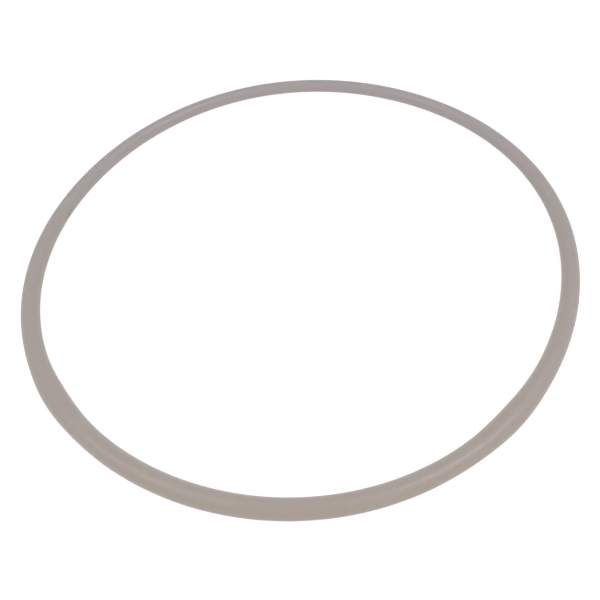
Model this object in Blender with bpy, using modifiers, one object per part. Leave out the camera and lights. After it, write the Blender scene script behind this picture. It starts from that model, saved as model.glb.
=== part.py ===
"""Sealing ring (lid gasket) of a stovetop pressure cooker.

One closed moulding of silicone rubber, solid right through. Its section is a half-round crown, which
the lid presses on, over a base with rounded corners and a narrow flat land, which rests on the rim.

Metres, +Z up. The origin is the ring's centre, on the surface that the ring lies on.
"""
import math

import bpy

# Driving dimensions
OUTER_DIAMETER = 0.240
SECTION_WIDTH = 0.0070  # across the rubber, along a radius
SECTION_HEIGHT = 0.0058  # through the rubber, along Z

# Worked out from them
OUTER_RADIUS = OUTER_DIAMETER / 2
CROWN_RADIUS = SECTION_WIDTH / 2  # the crown is a half circle as wide as the rubber
CORNER_RADIUS = SECTION_HEIGHT - CROWN_RADIUS  # the base's corners take the height that is left
MIDDLE_RADIUS = OUTER_RADIUS - CROWN_RADIUS  # from the ring's axis to the middle of the rubber

# Fineness of the solid
STEPS_AROUND = 120  # flats around the whole ring
STEPS_ON_CROWN = 12  # flats on the half-round crown
STEPS_PER_CORNER = 4  # flats on each corner of the base
MERGE_DISTANCE = 0.00001

# Look of the silicone
SILICONE_COLOUR = (0.402, 0.356, 0.337, 1.0)
SILICONE_ROUGHNESS = 0.42
SILICONE_SUBSURFACE = 0.25

OBJECT_NAME = "pressure_cooker_sealing_ring"


def remove_old_objects():
    """Empty the scene before the ring is made."""
    for old in list(bpy.data.objects):
        bpy.data.objects.remove(old, do_unlink=True)


def new_collection(name):
    """Make a collection and link it to the scene."""
    collection = bpy.data.collections.new(name)
    bpy.context.scene.collection.children.link(collection)
    return collection


def silicone_material():
    """Make the translucent grey-beige silicone rubber."""
    material = bpy.data.materials.new("silicone_rubber")
    material.use_nodes = True
    shader = material.node_tree.nodes["Principled BSDF"]
    shader.inputs["Base Color"].default_value = SILICONE_COLOUR
    shader.inputs["Roughness"].default_value = SILICONE_ROUGHNESS
    shader.inputs["Metallic"].default_value = 0.0
    shader.inputs["Subsurface Weight"].default_value = SILICONE_SUBSURFACE
    material.diffuse_color = SILICONE_COLOUR
    return material


def clockwise_arc(centre, radius, start, sweep, steps):
    """Return the points of an arc that turns clockwise by sweep degrees, both ends included."""
    points = []
    for step in range(steps + 1):
        angle = math.radians(start - sweep * step / steps)
        points.append((centre[0] + radius * math.cos(angle), centre[1] + radius * math.sin(angle)))
    return points


def section_outline():
    """Return the section's points (radius, height), down its outer side and back up its inner one."""
    half_land = CROWN_RADIUS - CORNER_RADIUS
    outer_corner = (MIDDLE_RADIUS + half_land, CORNER_RADIUS)
    inner_corner = (MIDDLE_RADIUS - half_land, CORNER_RADIUS)
    crown_centre = (MIDDLE_RADIUS, CORNER_RADIUS)
    outline = clockwise_arc(outer_corner, CORNER_RADIUS, 0, 90, STEPS_PER_CORNER)
    outline += clockwise_arc(inner_corner, CORNER_RADIUS, -90, 90, STEPS_PER_CORNER)
    crown = clockwise_arc(crown_centre, CROWN_RADIUS, 180, 180, STEPS_ON_CROWN)
    # The crown's ends are the corners' own ends, so they aren't repeated.
    return outline + crown[1:-1]


def profile_mesh(name, outline):
    """Make a closed loop of edges in the XZ plane from the outline's points."""
    count = len(outline)
    points = [(x, 0.0, z) for x, z in outline]
    edges = [(index, (index + 1) % count) for index in range(count)]
    mesh = bpy.data.meshes.new(name)
    mesh.from_pydata(points, edges, [])
    return mesh


def add_sealing_ring(collection):
    """Turn the section once around Z."""
    mesh = profile_mesh("sealing_ring", section_outline())
    ring = bpy.data.objects.new("sealing_ring", mesh)
    collection.objects.link(ring)
    turn = ring.modifiers.new("turn_section", "SCREW")
    turn.axis = "Z"
    turn.angle = math.tau
    turn.steps = STEPS_AROUND
    turn.render_steps = STEPS_AROUND
    turn.use_merge_vertices = True
    turn.merge_threshold = MERGE_DISTANCE
    turn.use_smooth_shade = True
    ring.data.materials.append(silicone_material())
    return ring


def main():
    """Build the ring in a collection of its own."""
    remove_old_objects()
    collection = new_collection(OBJECT_NAME)
    add_sealing_ring(collection)


main()
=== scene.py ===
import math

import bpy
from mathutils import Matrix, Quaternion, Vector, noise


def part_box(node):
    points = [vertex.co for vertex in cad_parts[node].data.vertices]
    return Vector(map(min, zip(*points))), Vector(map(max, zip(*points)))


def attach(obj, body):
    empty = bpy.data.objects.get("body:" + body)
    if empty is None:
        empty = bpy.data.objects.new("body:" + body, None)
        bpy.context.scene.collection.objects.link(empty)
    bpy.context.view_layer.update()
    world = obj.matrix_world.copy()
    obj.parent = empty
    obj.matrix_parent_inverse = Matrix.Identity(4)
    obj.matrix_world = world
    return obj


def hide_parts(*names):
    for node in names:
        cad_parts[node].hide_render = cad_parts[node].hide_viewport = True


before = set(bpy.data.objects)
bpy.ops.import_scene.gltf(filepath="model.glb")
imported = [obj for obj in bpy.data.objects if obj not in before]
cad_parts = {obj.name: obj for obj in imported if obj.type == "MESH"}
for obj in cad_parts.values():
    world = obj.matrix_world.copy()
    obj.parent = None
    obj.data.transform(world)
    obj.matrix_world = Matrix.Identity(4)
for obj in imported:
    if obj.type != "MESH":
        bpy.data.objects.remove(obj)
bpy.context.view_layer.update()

# Looks of a pressure cooker's silicone sealing ring, lying loose on a white studio table.
# Metres, +Z up. The ring's centre is the origin and the table's top is the plane z = 0.

MM = 0.001

# The ring as packed: its radii and height come from the CAD node.
CAD_NODE = "sealing_ring"
CAD_POINTS = [vertex.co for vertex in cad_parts[CAD_NODE].data.vertices]
OUTER_RADIUS = max(point.xy.length for point in CAD_POINTS)
INNER_RADIUS = min(point.xy.length for point in CAD_POINTS)
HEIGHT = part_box(CAD_NODE)[1].z

CROWN_RADIUS = (OUTER_RADIUS - INNER_RADIUS) / 2  # the crown is a half circle as wide as the rubber
CORNER_RADIUS = HEIGHT - CROWN_RADIUS  # also the height at which the rubber is widest
MIDDLE_RADIUS = (OUTER_RADIUS + INNER_RADIUS) / 2
HALF_LAND = CROWN_RADIUS - CORNER_RADIUS

# Fineness of the modelled surface
STEPS_AROUND = 720
CROWN_STEPS = 56
CORNER_STEPS = 18
LAND_STEPS = 4

# How the soft ring lies: a little square in plan, and pressed wider at two places in front
SQUARE_CORNERS = 4
SQUARENESS = 0.5 * MM  # how far out its blunt corners stand
SQUARE_AZIMUTH = 15  # degrees to the first corner
SWELL_AZIMUTHS = (-52, -142)  # degrees
SWELL_STAND = 0.5 * MM  # on each wall
SWELL_SPREAD = 7  # degrees

# Painted light: how far the near side is painted towards the warm-lit rubber and the far side towards
# the cool-lit one, from halfway, as if warm light fell from the front and cool light from behind
PAINTED_WARMTH_SWING = 0.45

# Mould flash, the fine line left where the two halves of the mould met, at the widest height
FLASH_STAND = 0.06 * MM
FLASH_SPREAD = 0.13 * MM

# The uneven skin of a soft moulding
SKIN_STAND = 0.025 * MM
SKIN_PITCH = 5 * MM

# One short crease in the inner wall, just above the flash, with painted shade at its bottom
CREASE_AZIMUTH = 167.5  # degrees
CREASE_HALF_LENGTH = 2.7  # degrees
CREASE_HEIGHT = CORNER_RADIUS + 0.45 * MM
CREASE_DEPTH = 0.3 * MM
CREASE_SPREAD = 0.2 * MM
CREASE_PAINTED_SHADE = 0.25  # how much darker its bottom is painted: painted shade

# Rubber
# The same rubber as lit by cool light and as lit by warm light, the two ends of the painted light tint.
COOL_LIT_RUBBER = (0.359, 0.341, 0.310, 1)
WARM_LIT_RUBBER = (0.375, 0.338, 0.261, 1)
RUBBER_ROUGHNESS = 0.40
ROUGHNESS_SWING = 0.05
RUBBER_IOR = 1.43
SUBSURFACE_WEIGHT = 0.15
SUBSURFACE_RADIUS = (1.0, 0.85, 0.75)  # red light goes deepest
SUBSURFACE_SCALE = 2 * MM

# Fine detail of the rubber: amounts, and noise scales, which are per metre but for the mould lines
FINE_BLOTCHES = 420
FINE_BLOTCH_AMOUNT = 0.09
BROAD_BLOTCHES = 90
BROAD_BLOTCH_AMOUNT = 0.05
GRAIN = 1400
GRAIN_HEIGHT = 0.002 * MM
MOULD_LINES = 60  # noise scale over one turn of the section
MOULD_LINE_HEIGHT = 0.0015 * MM

# Table
TABLE_SIDES = 128
TABLE_RADIUS = 6.0
TABLE_COLOUR = (0.12, 0.12, 0.12, 1)
TABLE_ROUGHNESS = 0.9
TABLE_GLOW_COLOUR = (1.0, 0.94, 1.0, 1)
TABLE_GLOW = 0.97

# Sky: white at the horizon, fading upwards to light grey
HORIZON_STRENGTH = 1.0
SKY_STRENGTH = 0.605
FADE_TOP = 0.25  # the upward part of the direction at which the fade ends

# Lights
NO_GRID = 180  # degrees, the spread of a bare soft box
STRIP_GRID = 100
STRIP_WIDTH = 0.05
STRIP_COLOUR = (1.07, 0.97, 1.33)
WIDE_BOX_SIZE = (1.5, 0.4)
BEHIND_COLOUR = (0.60, 1.0, 2.40)
FRONT_COLOUR = (1.25, 1.0, 0.85)

# Camera
CAMERA_PLACE = Vector((14.0, -153.2, 168.5)) * MM
CAMERA_AIM = Vector((14.0, -35.5, 0.0)) * MM
CAMERA_ROLL = -4.0  # degrees
CAMERA_SENSOR = 36  # millimetres, as the lens is
CAMERA_LENS = 29.77
CAMERA_SHIFT = -0.06  # the photograph's crop is off-centre
CAMERA_CLIP_START = 0.005
CAMERA_CLIP_END = 50


def turn_between(angle, azimuth):
    """The turn in degrees from an azimuth to an angle, between -180 and 180."""
    return (math.degrees(angle) - azimuth + 180) % 360 - 180


def bell(distance, spread):
    """A smooth bump that is 1 at its middle and fades over the spread."""
    return math.exp(-(distance / spread) ** 2)


def lay_stand(angle):
    """How far out the middle of the rubber lies at one angle."""
    return SQUARENESS * math.cos(SQUARE_CORNERS * (angle - math.radians(SQUARE_AZIMUTH)))


def width_share(angle):
    """The rubber's width at one angle, as a share of its width as moulded."""
    swell = sum(bell(turn_between(angle, azimuth), SWELL_SPREAD) for azimuth in SWELL_AZIMUTHS)
    return 1 + swell * SWELL_STAND / CROWN_RADIUS


def arc(centre_x, radius, start, end, steps):
    """Points and outward directions of an arc from start to end degrees, the last one left out."""
    points = []
    for step in range(steps):
        angle = math.radians(start + (end - start) * step / steps)
        out = Vector((math.cos(angle), math.sin(angle)))
        points.append((Vector((centre_x, CORNER_RADIUS)) + radius * out, out))
    return points


def section_outline():
    """The section's points and outward directions, anticlockwise from the middle of the land."""
    right_land = []
    left_land = []
    for step in range(LAND_STEPS):
        x = HALF_LAND * step / LAND_STEPS
        right_land.append((Vector((x, 0)), Vector((0, -1))))
        left_land.append((Vector((x - HALF_LAND, 0)), Vector((0, -1))))
    outline = right_land
    outline += arc(HALF_LAND, CORNER_RADIUS, 270, 360, CORNER_STEPS)
    outline += arc(0, CROWN_RADIUS, 0, 180, CROWN_STEPS)
    outline += arc(-HALF_LAND, CORNER_RADIUS, 180, 270, CORNER_STEPS)
    return outline + left_land


def crease_share(point):
    """How deep a place lies in the crease: 1 at its middle, 0 away from it."""
    angle = math.atan2(point.y, point.x)
    along = bell(turn_between(angle, CREASE_AZIMUTH), CREASE_HALF_LENGTH)
    inner = point.xy.length < MIDDLE_RADIUS
    return along * bell(point.z - CREASE_HEIGHT, CREASE_SPREAD) if inner else 0.0


def skin_stand(point):
    """How far the skin stands out at one place: flash, the uneven skin and the crease."""
    stand = FLASH_STAND * bell(point.z - CORNER_RADIUS, FLASH_SPREAD)
    stand += SKIN_STAND * noise.noise(point / SKIN_PITCH)
    return stand - CREASE_DEPTH * crease_share(point)


def ring_points(outline):
    """Loft the section around the ring, following how it lies."""
    points = []
    for step in range(STEPS_AROUND):
        angle = math.tau * step / STEPS_AROUND
        across = Vector((math.cos(angle), math.sin(angle), 0))
        middle = MIDDLE_RADIUS + lay_stand(angle)
        width = width_share(angle)
        for place, out in outline:
            point = across * (middle + place.x * width)
            point.z = place.y
            direction = across * out.x
            direction.z = out.y
            point += direction * skin_stand(point)
            point.z = max(point.z, 0.0)
            points.append(point)
    return points


def add_attribute(mesh, name, values):
    """Keep one number for each point of the mesh, which the material reads by name."""
    attribute = mesh.attributes.new(name, "FLOAT", "POINT")
    attribute.data.foreach_set("value", values)


def ring_mesh():
    """The ring's mesh, with its painted crease shade, its painted warm-to-cool light tint and each
    point's place around the section.
    """
    outline = section_outline()
    count = len(outline)
    faces = []
    for step in range(STEPS_AROUND):
        here = step * count
        there = (step + 1) % STEPS_AROUND * count
        for index in range(count):
            after = (index + 1) % count
            faces.append((here + index, there + index, there + after, here + after))
    points = ring_points(outline)
    mesh = bpy.data.meshes.new("silicone_ring")
    mesh.from_pydata(points, [], faces)
    mesh.shade_smooth()
    angles = [math.atan2(point.y, point.x) for point in points]
    # Painted shade: the rubber's colour is darkened at the bottom of the crease.
    add_attribute(mesh, "painted_crease_shade", [1 - CREASE_PAINTED_SHADE * crease_share(point) for point in points])
    # Painted light: the near side is tinted warm and the far side cool.
    add_attribute(mesh, "painted_light_warmth", [0.5 - PAINTED_WARMTH_SWING * math.sin(angle) for angle in angles])
    add_attribute(mesh, "around_section", [index % count / count for index in range(len(points))])
    return mesh


def new_node(tree, kind, **settings):
    """Add a node and set its own settings and its unlinked inputs."""
    node = tree.nodes.new(kind)
    for name, value in settings.items():
        if name in node.inputs:
            node.inputs[name].default_value = value
        else:
            setattr(node, name, value)
    return node


def attribute_value(tree, name):
    """The output of a number kept on the mesh."""
    return new_node(tree, "ShaderNodeAttribute", attribute_name=name).outputs["Fac"]


def noise_node(tree, place, scale, detail):
    """A noise texture read at a place, its scale in blotches per unit of the place."""
    node = new_node(tree, "ShaderNodeTexNoise", Scale=scale, Detail=detail)
    tree.links.new(place, node.inputs["Vector"])
    return node


def mottled(tree, colour, place, scale, amount):
    """Shift a colour's red, green and blue apart, each by its own noise."""
    blotches = noise_node(tree, place, scale, detail=2.0)
    shift = new_node(tree, "ShaderNodeVectorMath", operation="MULTIPLY_ADD")
    shift.inputs[1].default_value = (amount,) * 3
    shift.inputs[2].default_value = (1 - amount / 2,) * 3
    tree.links.new(blotches.outputs["Color"], shift.inputs[0])
    product = new_node(tree, "ShaderNodeVectorMath", operation="MULTIPLY")
    tree.links.new(colour, product.inputs[0])
    tree.links.new(shift.outputs[0], product.inputs[1])
    return product.outputs[0]


def rubber_colour(tree, place):
    """Rubber painted from cool-lit on the far side to warm-lit on the near side, a painted light tint
    drifting slowly around the ring, darkened by painted shade in the crease, with faint blotches.
    """
    # Mix between the cool-lit and the warm-lit rubber: a painted light tint.
    mix = new_node(tree, "ShaderNodeMix", data_type="RGBA")
    tree.links.new(attribute_value(tree, "painted_light_warmth"), mix.inputs["Factor"])
    # Sockets 6 and 7 are the two colours of an RGBA mix.
    mix.inputs[6].default_value = COOL_LIT_RUBBER
    mix.inputs[7].default_value = WARM_LIT_RUBBER
    # Painted shade: scale the colour down in the crease.
    crease_shaded = new_node(tree, "ShaderNodeVectorMath", operation="SCALE")
    tree.links.new(mix.outputs[2], crease_shaded.inputs[0])
    tree.links.new(attribute_value(tree, "painted_crease_shade"), crease_shaded.inputs["Scale"])
    fine = mottled(tree, crease_shaded.outputs[0], place, FINE_BLOTCHES, FINE_BLOTCH_AMOUNT)
    return mottled(tree, fine, place, BROAD_BLOTCHES, BROAD_BLOTCH_AMOUNT)


def rubber_roughness(tree, place):
    """Satin that changes a little from place to place."""
    patches = noise_node(tree, place, FINE_BLOTCHES, detail=3.0)
    spread = new_node(tree, "ShaderNodeMapRange")
    spread.inputs["To Min"].default_value = RUBBER_ROUGHNESS - ROUGHNESS_SWING
    spread.inputs["To Max"].default_value = RUBBER_ROUGHNESS + ROUGHNESS_SWING
    tree.links.new(patches.outputs["Fac"], spread.inputs["Value"])
    return spread.outputs["Result"]


def bump(tree, height, distance, under=None):
    """A bump of a given real height, on top of another one."""
    node = new_node(tree, "ShaderNodeBump", Strength=1.0, Distance=distance)
    tree.links.new(height, node.inputs["Height"])
    if under:
        tree.links.new(under, node.inputs["Normal"])
    return node.outputs["Normal"]


def rubber_relief(tree, place):
    """Fine lines along the ring, from the turned mould, and a finer grain."""
    lines_place = new_node(tree, "ShaderNodeCombineXYZ")
    tree.links.new(attribute_value(tree, "around_section"), lines_place.inputs["X"])
    lines = noise_node(tree, lines_place.outputs[0], MOULD_LINES, detail=1.0)
    grain = noise_node(tree, place, GRAIN, detail=2.0)
    under = bump(tree, lines.outputs["Fac"], MOULD_LINE_HEIGHT)
    return bump(tree, grain.outputs["Fac"], GRAIN_HEIGHT, under)


def silicone_material():
    """Translucent grey-beige silicone rubber with a satin skin."""
    material = bpy.data.materials.new("silicone")
    material.use_nodes = True
    tree = material.node_tree
    shader = tree.nodes["Principled BSDF"]
    shader.inputs["IOR"].default_value = RUBBER_IOR
    shader.inputs["Subsurface Weight"].default_value = SUBSURFACE_WEIGHT
    shader.inputs["Subsurface Radius"].default_value = SUBSURFACE_RADIUS
    shader.inputs["Subsurface Scale"].default_value = SUBSURFACE_SCALE
    place = new_node(tree, "ShaderNodeTexCoord").outputs["Object"]
    tree.links.new(rubber_colour(tree, place), shader.inputs["Base Color"])
    tree.links.new(rubber_roughness(tree, place), shader.inputs["Roughness"])
    tree.links.new(rubber_relief(tree, place), shader.inputs["Normal"])
    return material


def add_ring():
    """The smooth ring, which stands for the CAD's faceted one."""
    ring = bpy.data.objects.new("silicone_ring", ring_mesh())
    bpy.context.scene.collection.objects.link(ring)
    ring.data.materials.append(silicone_material())
    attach(ring, "root")
    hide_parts(CAD_NODE)


def add_floor():
    """A table top whose even white glow leaves hardly a shadow on it."""
    bpy.ops.mesh.primitive_circle_add(vertices=TABLE_SIDES, radius=TABLE_RADIUS, fill_type="NGON")
    floor = bpy.context.object
    floor.name = "floor"
    material = bpy.data.materials.new("floor")
    material.use_nodes = True
    shader = material.node_tree.nodes["Principled BSDF"]
    shader.inputs["Base Color"].default_value = TABLE_COLOUR
    shader.inputs["Roughness"].default_value = TABLE_ROUGHNESS
    shader.inputs["Specular IOR Level"].default_value = 0.0
    shader.inputs["Emission Color"].default_value = TABLE_GLOW_COLOUR
    shader.inputs["Emission Strength"].default_value = TABLE_GLOW
    # So wide and even a glow speckles the ring less when it isn't sampled as a lamp.
    material.cycles.emission_sampling = "NONE"
    floor.data.materials.append(material)


def grid_gain(grid):
    """How much brighter a grid of this spread makes a lamp of the same power, straight ahead of it."""
    half = math.radians(grid) / 2
    return math.tan(half) / (math.tan(half) - half)


def add_soft_box(name, place, target, bearing, size, radiance, colour, grid=NO_GRID):
    """A soft box that faces its target, turned about its own axis by the bearing in degrees."""
    data = bpy.data.lights.new(name, "AREA")
    data.shape = "RECTANGLE"
    data.size, data.size_y = size
    data.energy = radiance * math.pi * data.size * data.size_y
    if grid < NO_GRID:
        data.spread = math.radians(grid)
        data.energy /= grid_gain(grid)
    data.color = colour
    light = bpy.data.objects.new(name, data)
    light.location = place
    light.rotation_mode = "QUATERNION"
    look = (Vector(target) - Vector(place)).to_track_quat("-Z", "Y")
    light.rotation_quaternion = look @ Quaternion((0, 0, 1), math.radians(-bearing))
    bpy.context.scene.collection.objects.link(light)


def add_sky():
    """A plain pale sky that fades to white at the horizon."""
    world = bpy.data.worlds.new("studio")
    bpy.context.scene.world = world
    world.use_nodes = True
    tree = world.node_tree
    height = new_node(tree, "ShaderNodeSeparateXYZ")
    tree.links.new(new_node(tree, "ShaderNodeTexCoord").outputs["Generated"], height.inputs[0])
    fade = new_node(tree, "ShaderNodeMapRange", interpolation_type="SMOOTHSTEP")
    fade.inputs["From Max"].default_value = FADE_TOP
    fade.inputs["To Min"].default_value = HORIZON_STRENGTH
    fade.inputs["To Max"].default_value = SKY_STRENGTH
    tree.links.new(height.outputs["Z"], fade.inputs["Value"])
    background = tree.nodes["Background"]
    background.inputs["Color"].default_value = (1, 1, 1, 1)
    tree.links.new(fade.outputs["Result"], background.inputs["Strength"])


def add_lights():
    """Two narrow gridded strips overhead, and a wide dim box behind and in front."""
    add_soft_box("strip_right", place=(0.36, -0.085, 0.9), target=(0.04, -0.11, 0), bearing=77,
                 size=(STRIP_WIDTH, 0.40), radiance=46, colour=STRIP_COLOUR, grid=STRIP_GRID)
    add_soft_box("strip_left", place=(-0.475, 0.005, 0.9), target=(-0.06, -0.11, 0), bearing=-73,
                 size=(STRIP_WIDTH, 0.34), radiance=31, colour=STRIP_COLOUR, grid=STRIP_GRID)
    add_soft_box("box_behind", place=(-0.20, 1.25, 0.95), target=(0, 0, 0), bearing=0,
                 size=WIDE_BOX_SIZE, radiance=0.20, colour=BEHIND_COLOUR)
    add_soft_box("box_in_front", place=(0.20, -1.25, 0.55), target=(0, 0, 0), bearing=0,
                 size=WIDE_BOX_SIZE, radiance=0.55, colour=FRONT_COLOUR)


def add_camera():
    """A camera at the photograph's viewing angle."""
    data = bpy.data.cameras.new("camera")
    data.sensor_width = CAMERA_SENSOR
    data.lens = CAMERA_LENS
    data.shift_x = CAMERA_SHIFT
    data.clip_start = CAMERA_CLIP_START
    data.clip_end = CAMERA_CLIP_END
    camera = bpy.data.objects.new("camera", data)
    camera.location = CAMERA_PLACE
    camera.rotation_mode = "QUATERNION"
    look = (CAMERA_AIM - CAMERA_PLACE).to_track_quat("-Z", "Y")
    camera.rotation_quaternion = look @ Quaternion((0, 0, 1), math.radians(CAMERA_ROLL))
    bpy.context.scene.collection.objects.link(camera)
    bpy.context.scene.camera = camera


add_ring()
add_floor()
add_sky()
add_lights()
add_camera()
bpy.context.scene.view_settings.view_transform = "Standard"
